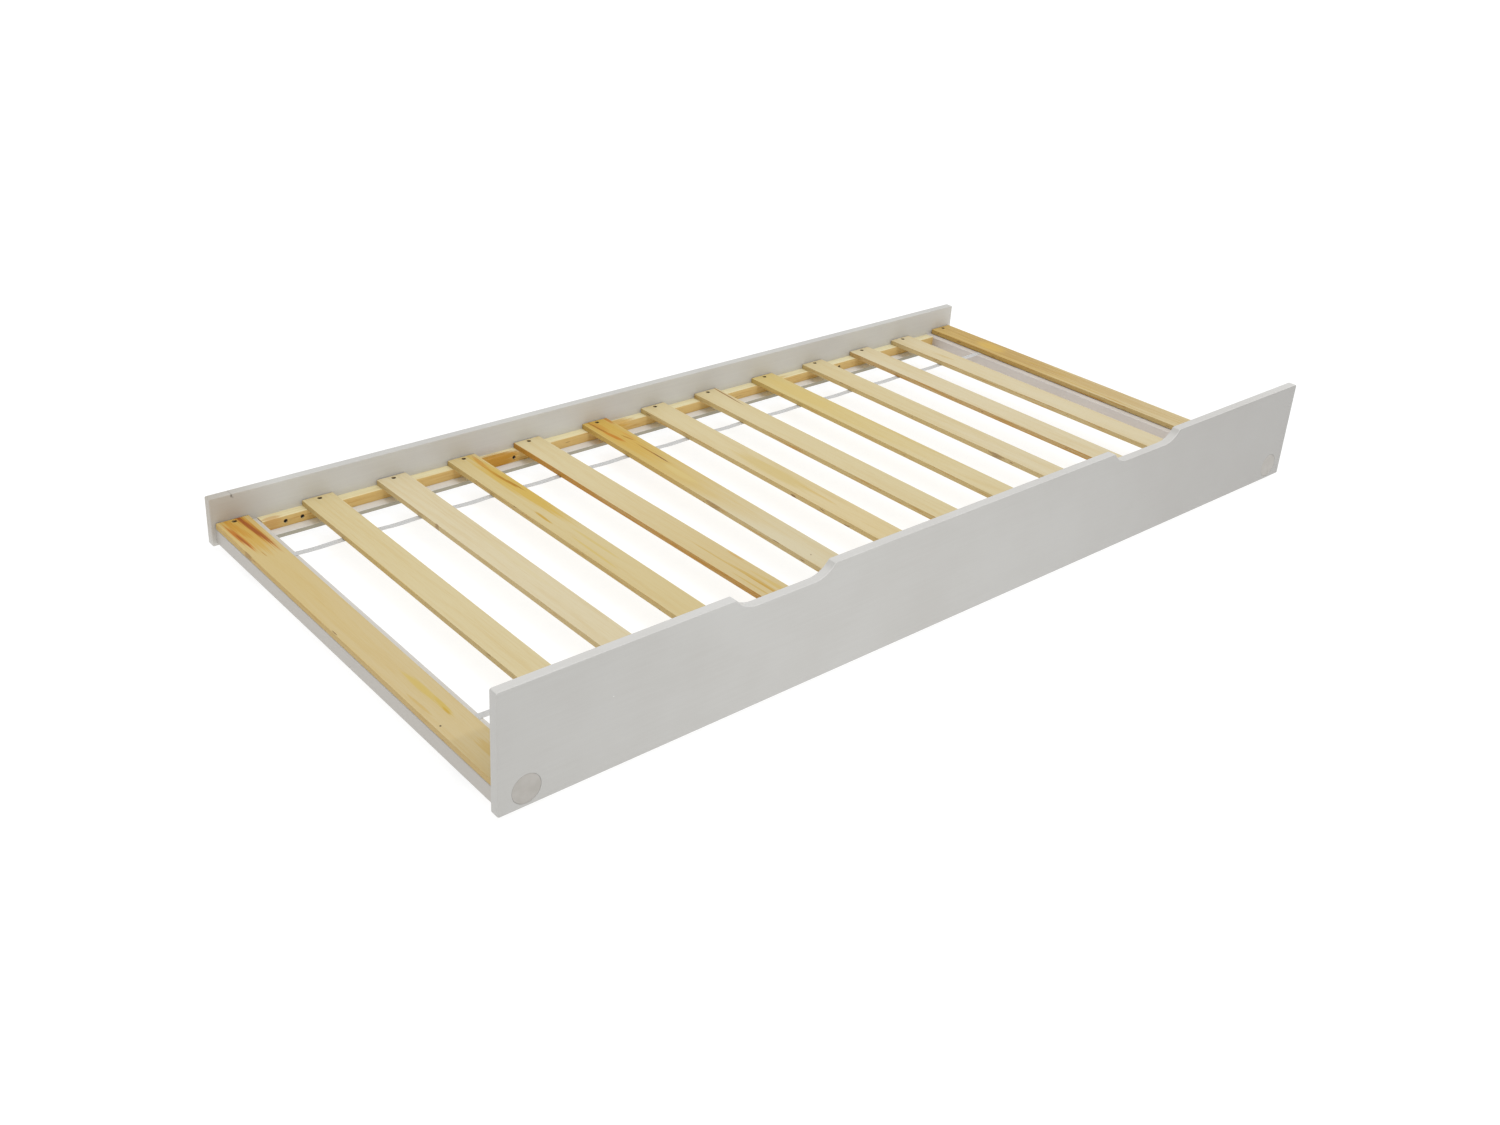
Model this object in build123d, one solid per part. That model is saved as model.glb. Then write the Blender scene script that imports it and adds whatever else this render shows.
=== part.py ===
from build123d import *
import math
import os

os.makedirs("parts", exist_ok=True)

# Trundle bed: a low slatted frame on rollers that slides under a bed.
# X runs along the length, Y from the front panel to the back panel, Z up.
# The origin is on the floor, under the middle of the frame. Sizes are in mm.

# Overall frame
length = 1950.0
width = 960.0
board = 18.0                  # thickness of both panels
front_height = 203.0
back_height = 94.0
front_round = 2.5             # rounding of the front panel's long edges
back_round = 1.5
front_corner = 4.0            # rounding of the front panel's corners
back_corner = 3.0

# Hand cut-outs in the front panel's top edge
cutout_from_end = 517.0       # panel end to the middle of the cut-out
cutout_flat = 118.0           # straight bottom of the cut-out
cutout_depth = 22.0
cutout_sweep = 52.0           # radius of the hollow curve at each end
cutout_lip = 6.0              # rounding where the curve meets the top edge

# End rails, ledgers and battens
rail_width = 78.0
rail_height = 28.0
rail_inset = 8.0              # outer face of a rail inside the panel's end
rail_foot = 5.0               # underside of rails and ledgers above the panels' underside
rail_round = 1.5
ledger_width = 44.0
ledger_thick = 8.0
ledger_round = 1.0
batten_thick = 22.0
batten_chamfer = 0.6

# Slats
slat_width = 62.0
slat_thick = 11.0
slat_round = 1.2
slat_end_gap = 2.0            # slat end to panel
slat_count = 11               # between the two end slats
# How far each slat sits from an even spacing, at its back end and its front end
back_shift = (9.0, 6.0, 4.5, 1.5, 16.5, 14.5, 7.0, 19.5, 22.0, 22.0, 9.0)
front_shift = (10.5, 10.0, 8.0, 11.5, 0.0, 10.5, 9.5, 16.5, 18.5, 19.0, 14.5)

# Tape under the slats
tape_width = 14.0
tape_thick = 1.0
tape_from_panel = 162.0       # panel's inner face to the tape's middle line
tape_end_under = 50.0         # length of tape lying on each rail
staple_crown = 8.0
staple_wire = 0.8
staple_leg = 6.0

# Wood screws
screw_radius = 1.75
screw_head_radius = 4.0
screw_head = 2.6
screw_tip = 4.0
screw_tip_radius = 0.2
cross_long = 3.6              # cross recess in a screw head
cross_wide = 0.8
cross_deep = 1.6
cut_over = 0.5                # how far a recess is cut past the face it opens in
slat_screw_recess = 2.0       # screw head below the slat's face
slat_screw_short = 2.0        # screw's tip above the batten's underside
batten_screw_recess = 2.5
batten_screw_bite = 12.5      # length in the panel
ledger_screw_bite = 12.0      # length in the batten
bracket_screw_length = 14.0
# Slat that a screw stands beside, counted from either end, and distance from its middle line
batten_screw_places = ((0, -74.0), (0, -41.0), (3, -43.0), (6, 45.0), (-2, -84.0), (-1, 34.0))
ledger_screw_places = ((0, 25.0), (3, 25.0), (5, 25.0), (-3, 25.0), (-1, -25.0))

# Rail bolts, dowels and cover discs
bolt_radius = 3.5
bolt_length = 66.0
bolt_chamfer = 1.0
bolt_head_radius = 5.0
bolt_head = 3.0
bolt_above_foot = 17.0        # bolt axis above the rail's underside
bolt_from_slat = 8.0          # bolt axis inside the end slat's middle line
hex_key = 4.0                 # across flats of the bolt's socket
hex_deep = 2.2
dowel_radius = 4.0
dowel_length = 30.0
dowel_chamfer = 0.8
dowel_in_panel = 10.0
dowel_from_edge = 12.0        # dowel axis to the rail's side
disc_radius = 24.0
disc_thick = 1.5
disc_round = 0.5
disc_gap = 0.4
disc_above_foot = 25.0        # disc's middle above the rail's underside

# Rollers
wheel_radius = 13.0
wheel_width = 14.0
wheel_round = 2.0
wheel_rim = 3.5               # tread ring outside the dished side
wheel_dish = 1.0
wheel_hub = 4.5               # hub radius
hub_proud = 2.0               # hub beyond the tread ring at each side
wheel_side_gap = 0.5
wheel_from_panel = 112.0      # panel's inner face to the wheel's axis
axle_drop = 6.0               # axle below the rail's underside
axle_radius = 2.0
axle_play = 0.05
axle_head_radius = 3.4
axle_head = 1.2
axle_head_round = 0.5
bracket_steel = 1.5
bracket_flange = 14.0         # plate beside each ear
bracket_end = 13.5            # plate beyond the wheel pocket
bracket_round = 4.0
bracket_screw_side = 7.0      # screw to the plate's long edge
bracket_screw_end = 5.5       # screw to the plate's short edge
ear_radius = 5.5
pocket_clear = 1.5

# Places derived from the sizes above
half_length = length / 2
half_width = width / 2
front_inner = -half_width + board
back_inner = half_width - board
rail_outer = half_length - rail_inset
rail_inner = rail_outer - rail_width
rail_middle = (rail_outer + rail_inner) / 2
rail_bottom = wheel_radius + axle_drop
floor_gap = rail_bottom - rail_foot
rail_top = rail_bottom + rail_height
slat_bottom = rail_top + tape_thick
slat_top = slat_bottom + slat_thick
slat_screw_seat = slat_top - slat_screw_recess
front_top = floor_gap + front_height
ledger_top = rail_bottom + ledger_thick
batten_middle = back_inner - batten_thick / 2
batten_screw_height = (ledger_top + slat_bottom) / 2
slat_screw_length = slat_screw_seat - ledger_top - slat_screw_short
batten_screw_length = batten_thick - batten_screw_recess + batten_screw_bite
ledger_screw_length = ledger_thick + ledger_screw_bite
end_slat_middle = rail_outer - slat_width / 2
slat_pitch = 2 * end_slat_middle / (slat_count + 1)
slat_length = 2 * (back_inner - slat_end_gap)
tape_y = back_inner - tape_from_panel
bolt_x = end_slat_middle - bolt_from_slat
bolt_height = rail_bottom + bolt_above_foot
disc_height = rail_bottom + disc_above_foot
wheel_y = back_inner - wheel_from_panel
ear_gap = wheel_width + 2 * wheel_side_gap
pocket_long = 2 * (wheel_radius + pocket_clear)
pocket_wide = ear_gap + 2 * bracket_steel
pocket_deep = wheel_radius - axle_drop + pocket_clear
bracket_wide = pocket_wide + 2 * bracket_flange
bracket_long = pocket_long + 2 * bracket_end
near = 0.01
SIDES = {"left": -1, "right": 1}
ENDS = {"front": -1, "back": 1}
UPWARDS = (Align.CENTER, Align.CENTER, Align.MIN)
DOWNWARDS = (Align.CENTER, Align.CENTER, Align.MAX)


def span_box(x0, x1, y0, y1, z0, z1):
    """A box given by its two faces along each axis."""
    return Pos((x0 + x1) / 2, (y0 + y1) / 2, (z0 + z1) / 2) * Box(x1 - x0, y1 - y0, z1 - z0)


def rod(x, y, z, direction, radius, long):
    """A round bar that starts at a point and runs in a direction."""
    return Plane(origin=(x, y, z), z_dir=direction) * extrude(Circle(radius), long)


def moved(shape, x, y, z=0.0):
    return Pos(x, y, z) * shape


def save(name, shape):
    shape.label = name
    export_step(shape, f"parts/{name}.step")


def group(solids):
    return Compound(children=list(solids))


# ---- places of the slats and of what fastens them ----

def slat_places():
    """Middle of every slat at its back end and front end, from left to right."""
    places = [(-end_slat_middle, -end_slat_middle)]
    for index in range(slat_count):
        even = -end_slat_middle + (index + 1) * slat_pitch
        back = back_shift[index % len(back_shift)]
        front = front_shift[index % len(front_shift)]
        places.append((even + back, even + front))
    places.append((end_slat_middle, end_slat_middle))
    return places


def middle_places():
    return slat_places()[1:-1]


def slat_x(place, y):
    """X of a slat's middle line at a given Y."""
    back_x, front_x = place
    share = (y + half_width) / width
    return front_x + (back_x - front_x) * share


def slat_names():
    middle = [f"slat_{index:02d}" for index in range(1, slat_count + 1)]
    return ["slat_end_left"] + middle + ["slat_end_right"]


def slat_screw_points(place):
    return [(slat_x(place, y), y) for y in (-batten_middle, batten_middle)]


def tape_points(place):
    return [(slat_x(place, y), y) for y in (-tape_y, tape_y)]


def beside_slats(places, end):
    """X of screws that stand beside slats, at one of the two battens."""
    y = end * batten_middle
    return [slat_x(middle_places()[index], y) + offset for index, offset in places]


# ---- fasteners ----

def screw_cone():
    return Cone(screw_radius, screw_head_radius, screw_head, align=DOWNWARDS)


def wood_screw(long):
    """Countersunk screw along -Z with its head's face at Z = 0 and a cross recess."""
    shank = Cylinder(screw_radius, long - screw_head - screw_tip, align=DOWNWARDS)
    point = Cone(screw_tip_radius, screw_radius, screw_tip, align=DOWNWARDS)
    blade = Box(cross_long, cross_wide, cross_deep, align=DOWNWARDS)
    screw = screw_cone() + moved(shank, 0, 0, -screw_head) + moved(point, 0, 0, screw_tip - long)
    return screw - blade - Rot(0, 0, 90) * blade


def screw_hole(long, recess=0.0):
    """The space that a wood screw and the recess over its head take."""
    shank = Cylinder(screw_radius, long - screw_head, align=DOWNWARDS)
    hole = screw_cone() + moved(shank, 0, 0, -screw_head)
    if recess > 0:
        hole += Cylinder(screw_head_radius, recess + cut_over, align=UPWARDS)
    return hole


def bolt_space():
    head = Cylinder(bolt_head_radius, bolt_head, align=UPWARDS)
    return head + Cylinder(bolt_radius, bolt_length, align=UPWARDS)


def rail_bolt():
    """Connecting bolt along +Z from its head's outer face, with a hexagon socket."""
    head = Cylinder(bolt_head_radius, bolt_head, align=UPWARDS)
    shank = Cylinder(bolt_radius, bolt_length, align=UPWARDS)
    shank = chamfer(shank.edges().group_by(Axis.Z)[-1], bolt_chamfer)
    socket = extrude(RegularPolygon(hex_key / 2, 6, major_radius=False), hex_deep)
    return head + shank - socket


def dowel_space():
    return Cylinder(dowel_radius, dowel_length, align=UPWARDS)


def dowel():
    peg = dowel_space()
    return chamfer(peg.edges().filter_by(GeomType.CIRCLE), dowel_chamfer)


def staple():
    """Crown along X at Z = 0, legs pointing up."""
    piece = Box(staple_crown, staple_wire, staple_wire, align=DOWNWARDS)
    leg = Box(staple_wire, staple_wire, staple_leg + tape_thick + staple_wire, align=UPWARDS)
    for side in SIDES.values():
        piece += moved(leg, side * (staple_crown - staple_wire) / 2, 0, -staple_wire)
    return piece


# ---- where each kind of fastener goes ----

def bolt_frames():
    """Head position and pointing direction of every rail bolt."""
    frames = []
    for side in SIDES.values():
        for end in ENDS.values():
            sink = disc_thick if end < 0 else 0.0
            y = end * (half_width - sink)
            frames.append(Plane(origin=(side * bolt_x, y, bolt_height), z_dir=(0, -end, 0)))
    return frames


def dowel_frames():
    frames = []
    for side in SIDES.values():
        for end in ENDS.values():
            for x in (rail_inner + dowel_from_edge, rail_outer - dowel_from_edge):
                y = end * (back_inner + dowel_in_panel)
                frames.append(Plane(origin=(side * x, y, bolt_height), z_dir=(0, -end, 0)))
    return frames


def batten_screw_frames(end):
    y = end * (back_inner - batten_thick + batten_screw_recess)
    return [Plane(origin=(x, y, batten_screw_height), z_dir=(0, -end, 0))
            for x in beside_slats(batten_screw_places, end)]


def ledger_screw_frames(end):
    y = end * batten_middle
    return [Plane(origin=(x, y, rail_bottom), z_dir=(0, 0, -1))
            for x in beside_slats(ledger_screw_places, end)]


def bracket_screw_frames(x, y, top):
    """Screws up through the corners of a wheel bracket whose top face's middle is at X, Y, top."""
    side_step = bracket_wide / 2 - bracket_screw_side
    end_step = bracket_long / 2 - bracket_screw_end
    z = top - bracket_steel
    return [Plane(origin=(x + i * side_step, y + j * end_step, z), z_dir=(0, 0, -1))
            for i in SIDES.values() for j in ENDS.values()]


# ---- panels ----

def cutout_outline(middle):
    """Closed outline of one hand cut-out, open through the panel's top edge."""
    rise = math.sqrt(cutout_sweep ** 2 - (cutout_sweep - cutout_depth) ** 2)
    floor = front_top - cutout_depth
    over = front_top + cutout_depth
    half_flat = cutout_flat / 2
    angle = math.asin(rise / cutout_sweep) / 2
    bend_x = half_flat + cutout_sweep * math.sin(angle)
    bend_z = floor + cutout_sweep - cutout_sweep * math.cos(angle)
    left = middle - half_flat - rise
    right = middle + half_flat + rise
    edges = [
        Line((left, over), (left, front_top)),
        ThreePointArc((left, front_top), (middle - bend_x, bend_z), (middle - half_flat, floor)),
        Line((middle - half_flat, floor), (middle + half_flat, floor)),
        ThreePointArc((middle + half_flat, floor), (middle + bend_x, bend_z), (right, front_top)),
        Line((right, front_top), (right, over)),
        Line((right, over), (left, over)),
    ]
    return make_face(edges)


def panel_outline(height, corner):
    """Face of a panel in X and Z, seen from the front."""
    face = Pos(0, floor_gap + height / 2) * Rectangle(length, height)
    return fillet(face.vertices(), corner)


def panel_solid(face, front_y, rounding):
    """Board that starts at front_y from an outline in X and Z, with rounded rims."""
    plane = Plane(origin=(0, front_y + board, 0), x_dir=(1, 0, 0), z_dir=(0, -1, 0))
    panel = extrude(plane * face, board)
    faces_y = (front_y, front_y + board)
    rims = panel.edges().filter_by(lambda e: min(abs(e.center().Y - y) for y in faces_y) < near)
    return fillet(rims, rounding)


def cut_panel_joints(panel, end):
    for frame in bolt_frames():
        panel -= frame * bolt_space()
    for frame in dowel_frames():
        panel -= frame * dowel_space()
    for frame in batten_screw_frames(end):
        panel -= frame * screw_hole(batten_screw_length)
    return panel


def front_panel():
    face = panel_outline(front_height, front_corner)
    for side in SIDES.values():
        face -= cutout_outline(side * (half_length - cutout_from_end))
    lips = [v for v in face.vertices()
            if abs(v.Y - front_top) < near and abs(v.X) < half_length - 2 * front_corner]
    panel = panel_solid(fillet(lips, cutout_lip), -half_width, front_round)
    for side in SIDES.values():
        panel -= rod(side * bolt_x, -half_width, disc_height, (0, 1, 0),
                     disc_radius + disc_gap, disc_thick)
    return cut_panel_joints(panel, -1)


def back_panel():
    panel = panel_solid(panel_outline(back_height, back_corner), back_inner, back_round)
    return cut_panel_joints(panel, 1)


def cover_disc(side):
    disc = rod(side * bolt_x, -half_width, disc_height, (0, 1, 0), disc_radius, disc_thick)
    rim = disc.edges().filter_by(GeomType.CIRCLE).group_by(Axis.Y)[0]
    return fillet(rim, disc_round)


# ---- rails, ledgers and battens ----

def end_rail(side):
    x0, x1 = sorted((side * rail_inner, side * rail_outer))
    rail = span_box(x0, x1, front_inner, back_inner, rail_bottom, rail_top)
    rail = fillet(rail.edges().filter_by(Axis.Y), rail_round)
    for frame in bolt_frames():
        rail -= frame * bolt_space()
    for frame in dowel_frames():
        rail -= frame * dowel_space()
    for x, y in slat_screw_points((side * end_slat_middle, side * end_slat_middle)):
        rail -= moved(screw_hole(slat_screw_length), x, y, slat_screw_seat)
    pocket = Box(pocket_wide, pocket_long, pocket_deep, align=UPWARDS)
    for end in ENDS.values():
        x, y = side * rail_middle, end * wheel_y
        rail -= moved(pocket, x, y, rail_bottom)
        for frame in bracket_screw_frames(x, y, rail_bottom):
            rail -= frame * screw_hole(bracket_screw_length)
    return rail


def inner_edges(strip, end):
    """Long edges of a strip on the side that faces away from its panel."""
    rows = strip.edges().filter_by(Axis.X).group_by(Axis.Y)
    return rows[0] if end > 0 else rows[-1]


def ledger(end):
    y0, y1 = sorted((end * back_inner, end * (back_inner - ledger_width)))
    strip = span_box(-rail_inner, rail_inner, y0, y1, rail_bottom, ledger_top)
    strip = fillet(inner_edges(strip, end), ledger_round)
    for frame in ledger_screw_frames(end):
        strip -= frame * screw_hole(ledger_screw_length)
    return strip


def batten(end):
    y0, y1 = sorted((end * back_inner, end * (back_inner - batten_thick)))
    strip = span_box(-rail_inner, rail_inner, y0, y1, ledger_top, slat_bottom)
    strip = chamfer(inner_edges(strip, end), batten_chamfer)
    for frame in batten_screw_frames(end):
        strip -= frame * screw_hole(batten_screw_length, batten_screw_recess)
    for frame in ledger_screw_frames(end):
        strip -= frame * screw_hole(ledger_screw_length)
    for place in middle_places():
        x = slat_x(place, end * batten_middle)
        strip -= moved(screw_hole(slat_screw_length), x, end * batten_middle, slat_screw_seat)
    return strip


# ---- slats and tape ----

def slat(place, stapled):
    back_x, front_x = place
    turn = math.degrees(math.atan2(front_x - back_x, width))
    strip = Box(slat_width, slat_length, slat_thick, align=UPWARDS)
    strip = fillet(strip.edges().filter_by(Axis.Y), slat_round)
    piece = moved(Rot(0, 0, turn) * strip, slat_x(place, 0.0), 0, slat_bottom)
    for x, y in slat_screw_points(place):
        piece -= moved(screw_hole(slat_screw_length, slat_screw_recess), x, y, slat_screw_seat)
    if stapled:
        for x, y in tape_points(place):
            piece -= moved(staple(), x, y, slat_bottom - tape_thick)
    return piece


def slat_tape(end):
    reach = rail_inner + tape_end_under
    y = end * tape_y
    band = span_box(-reach, reach, y - tape_width / 2, y + tape_width / 2, rail_top, slat_bottom)
    for place in middle_places():
        band -= moved(staple(), slat_x(place, y), y, slat_bottom - tape_thick)
    return band


# ---- rollers ----

def wheel():
    """Roller about the X axis with rounded tread edges, dished sides, hub and bore."""
    ring_wide = wheel_width - 2 * hub_proud
    ring = Cylinder(wheel_radius, ring_wide)
    ring = fillet(ring.edges().filter_by(GeomType.CIRCLE), wheel_round)
    body = ring + Cylinder(wheel_hub, wheel_width)
    dish = Cylinder(wheel_radius - wheel_rim, ring_wide) - Cylinder(wheel_hub, ring_wide)
    for side in SIDES.values():
        body -= moved(dish, 0, 0, side * (ring_wide - wheel_dish))
    body -= Cylinder(axle_radius + axle_play, wheel_width + cut_over)
    return Rot(0, 90, 0) * body


def axle():
    """Riveted pin about the X axis with a head at each end."""
    over = ear_gap / 2 + bracket_steel
    pin = Cylinder(axle_radius, 2 * over)
    for side in SIDES.values():
        head = moved(Cylinder(axle_head_radius, axle_head), 0, 0, side * (over + axle_head / 2))
        outer = head.edges().filter_by(GeomType.CIRCLE).group_by(Axis.Z)[0 if side < 0 else -1]
        pin += fillet(outer, axle_head_round)
    return Rot(0, 90, 0) * pin


def wheel_bracket():
    """Steel plate with two ears; its top face is at Z = 0 and the axle hangs below."""
    plate = Box(bracket_wide, bracket_long, bracket_steel, align=DOWNWARDS)
    plate = fillet(plate.edges().filter_by(Axis.Z), bracket_round)
    bracket = plate - Box(ear_gap, pocket_long, 3 * bracket_steel)
    for frame in bracket_screw_frames(0, 0, 0):
        bracket -= frame * screw_hole(bracket_screw_length)
    for side in SIDES.values():
        x0, x1 = sorted((side * ear_gap / 2, side * (ear_gap / 2 + bracket_steel)))
        bracket += span_box(x0, x1, -ear_radius, ear_radius, -axle_drop, -bracket_steel / 2)
        bracket += rod(x0, 0, -axle_drop, (1, 0, 0), ear_radius, bracket_steel)
    return bracket - rod(-bracket_wide / 2, 0, -axle_drop, (1, 0, 0), axle_radius, bracket_wide)


def roller_places():
    return {f"{end_name}_{side_name}": (side * rail_middle, end * wheel_y)
            for end_name, end in ENDS.items() for side_name, side in SIDES.items()}


# ---- build every node ----

def build_frame():
    save("front_panel", front_panel())
    save("back_panel", back_panel())
    for name, side in SIDES.items():
        save(f"cover_disc_{name}", cover_disc(side))
        save(f"end_rail_{name}", end_rail(side))
    for name, end in ENDS.items():
        save(f"ledger_{name}", ledger(end))
        save(f"batten_{name}", batten(end))
        save(f"slat_tape_{name}", slat_tape(end))


def build_slats():
    for name, place in zip(slat_names(), slat_places()):
        save(name, slat(place, stapled="end" not in name))


def build_fasteners():
    screws = []
    staples = []
    for place in slat_places():
        for x, y in slat_screw_points(place):
            screws.append(moved(wood_screw(slat_screw_length), x, y, slat_screw_seat))
    for place in middle_places():
        for x, y in tape_points(place):
            staples.append(moved(staple(), x, y, slat_bottom - tape_thick))
    save("slat_screws", group(screws))
    save("tape_staples", group(staples))
    save("rail_bolts", group(frame * rail_bolt() for frame in bolt_frames()))
    save("rail_dowels", group(frame * dowel() for frame in dowel_frames()))
    faces = [frame for end in ENDS.values() for frame in batten_screw_frames(end)]
    save("batten_screws", group(frame * wood_screw(batten_screw_length) for frame in faces))
    feet = [frame for end in ENDS.values() for frame in ledger_screw_frames(end)]
    save("ledger_screws", group(frame * wood_screw(ledger_screw_length) for frame in feet))


def build_rollers():
    screws = []
    for name, (x, y) in roller_places().items():
        save(f"wheel_bracket_{name}", moved(wheel_bracket(), x, y, rail_bottom))
        save(f"wheel_{name}", moved(wheel(), x, y, wheel_radius))
        save(f"axle_{name}", moved(axle(), x, y, wheel_radius))
        for frame in bracket_screw_frames(x, y, rail_bottom):
            screws.append(frame * wood_screw(bracket_screw_length))
    save("bracket_screws", group(screws))


build_frame()
build_slats()
build_fasteners()
build_rollers()
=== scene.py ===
import math

import bmesh
import bpy
from mathutils import Matrix, Vector


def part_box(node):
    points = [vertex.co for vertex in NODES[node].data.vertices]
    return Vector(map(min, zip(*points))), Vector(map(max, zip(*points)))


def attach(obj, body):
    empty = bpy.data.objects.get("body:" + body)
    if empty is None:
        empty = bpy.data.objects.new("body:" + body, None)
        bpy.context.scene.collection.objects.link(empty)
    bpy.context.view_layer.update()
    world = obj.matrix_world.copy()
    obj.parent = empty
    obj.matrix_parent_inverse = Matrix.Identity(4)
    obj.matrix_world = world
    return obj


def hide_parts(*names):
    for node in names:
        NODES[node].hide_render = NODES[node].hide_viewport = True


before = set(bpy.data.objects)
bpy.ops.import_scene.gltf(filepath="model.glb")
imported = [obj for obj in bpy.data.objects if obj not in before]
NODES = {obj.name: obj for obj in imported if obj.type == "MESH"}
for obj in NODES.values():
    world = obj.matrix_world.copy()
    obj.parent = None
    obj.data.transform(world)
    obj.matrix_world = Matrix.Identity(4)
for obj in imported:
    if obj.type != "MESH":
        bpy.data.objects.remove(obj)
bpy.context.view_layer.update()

# Units are metres. X runs along the bed, Y from the front panel to the back panel, Z up.

# Camera
CAMERA_PLACE = (-1.8512, -1.8918, 1.3360)
CAMERA_AZIMUTH = -41.140
CAMERA_ELEVATION = 24.786
CAMERA_ROLL = 3.120
CAMERA_LENS = 36.036
CAMERA_SENSOR = 36.0
CAMERA_SHIFT = (0.0230, -0.0725)
CAMERA_REACH = 200.0

# Studio
SKY_STRENGTH = 0.705
KEY = {"elevation": 52.5, "softness": 2.5, "strength": 0.34}
TOP = {"elevation": 80.0, "softness": 60.0, "strength": 0.72}
LAMP_DISTANCE = 3.0
FLOOR_SIDE = 60.0
FLOOR_GLOW = 0.80
FLOOR_CELLS = 40.0


def tone(red, green, blue):
    """Linear colour from display values of 0 to 255."""
    def linear(value):
        value = value / 255
        return value / 12.92 if value <= 0.04045 else ((value + 0.055) / 1.055) ** 2.4
    return (linear(red), linear(green), linear(blue), 1.0)


# ---- shader building ----

class Shader:
    """One node material, with short methods that add nodes and return their output socket."""

    def __init__(self, name):
        self.material = bpy.data.materials.new(name)
        self.material.use_nodes = True
        self.tree = self.material.node_tree
        self.surface = self.tree.nodes["Principled BSDF"]
        coordinates = self.tree.nodes.new("ShaderNodeTexCoord")
        self.place = coordinates.outputs["Object"]
        self.normal = coordinates.outputs["Normal"]

    def feed(self, socket, value):
        if isinstance(value, bpy.types.NodeSocket):
            self.tree.links.new(value, socket)
        else:
            socket.default_value = value

    def node(self, kind, inputs, output, **settings):
        made = self.tree.nodes.new(kind)
        for key, value in settings.items():
            setattr(made, key, value)
        for key, value in inputs.items():
            self.feed(made.inputs[key], value)
        return made.outputs[output]

    def mapped(self, vector, location=(0, 0, 0), turn=0.0, scale=(1, 1, 1)):
        inputs = {"Vector": vector, "Location": location, "Rotation": (0, 0, turn), "Scale": scale}
        return self.node("ShaderNodeMapping", inputs, "Vector")

    def noise(self, vector, scale, detail=3.0, roughness=0.5, distortion=0.0):
        inputs = {"Vector": vector, "Scale": scale, "Detail": detail,
                  "Roughness": roughness, "Distortion": distortion}
        return self.node("ShaderNodeTexNoise", inputs, "Fac")

    def math(self, operation, first, second=0.0):
        inputs = {0: first, 1: second}
        return self.node("ShaderNodeMath", inputs, "Value", operation=operation)

    def add(self, first, second):
        return self.math("ADD", first, second)

    def times(self, first, second):
        return self.math("MULTIPLY", first, second)

    def remap(self, value, low, high, to_low=0.0, to_high=1.0):
        """Smooth step from to_low at low to to_high at high."""
        inputs = {"Value": value, "From Min": low, "From Max": high,
                  "To Min": to_low, "To Max": to_high}
        return self.node("ShaderNodeMapRange", inputs, "Result", interpolation_type="SMOOTHSTEP")

    def mix(self, factor, first, second, blend="MIX"):
        made = self.tree.nodes.new("ShaderNodeMix")
        made.data_type = "RGBA"
        made.blend_type = blend
        self.feed(made.inputs[0], factor)
        self.feed(made.inputs[6], first)
        self.feed(made.inputs[7], second)
        return made.outputs[2]

    def axis(self, vector, name):
        return self.node("ShaderNodeSeparateXYZ", {"Vector": vector}, name)

    def facing(self, axis, sign, low=0.55, high=0.85):
        """1 on faces whose normal points along an axis, 0 elsewhere."""
        part = self.axis(self.normal, axis)
        return self.remap(self.times(part, sign), low, high)

    def spot(self, vector, middle, size, turn=0.0, core=0.0):
        """Soft oval in the first two coordinates: 1 inside core, 0 outside its size."""
        shifted = self.mapped(vector, location=(-middle[0], -middle[1], 0))
        turned = self.mapped(shifted, turn=turn)
        scaled = self.mapped(turned, scale=(1 / size[0], 1 / size[1], 0))
        distance = self.node("ShaderNodeVectorMath", {0: scaled}, "Value", operation="LENGTH")
        return self.remap(distance, 1.0, core)

    def bump(self, height, distance, strength=1.0, below=None):
        inputs = {"Height": height, "Distance": distance, "Strength": strength}
        if below is not None:
            inputs["Normal"] = below
        return self.node("ShaderNodeBump", inputs, "Normal")

    def finish(self, colour, roughness, normal=None, metallic=0.0):
        self.feed(self.surface.inputs["Base Color"], colour)
        self.feed(self.surface.inputs["Roughness"], roughness)
        self.feed(self.surface.inputs["Metallic"], metallic)
        if normal is not None:
            self.feed(self.surface.inputs["Normal"], normal)
        return self.material


# ---- painted boards ----

# Noise cells per metre: along and across the grain that shows through the paint, in the
# fine stipple and in the soft blotches
PAINT_ALONG = 7.0
PAINT_ACROSS = 210.0
STIPPLE_CELLS = 900.0
BLOTCH_CELLS = 5.0


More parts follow.
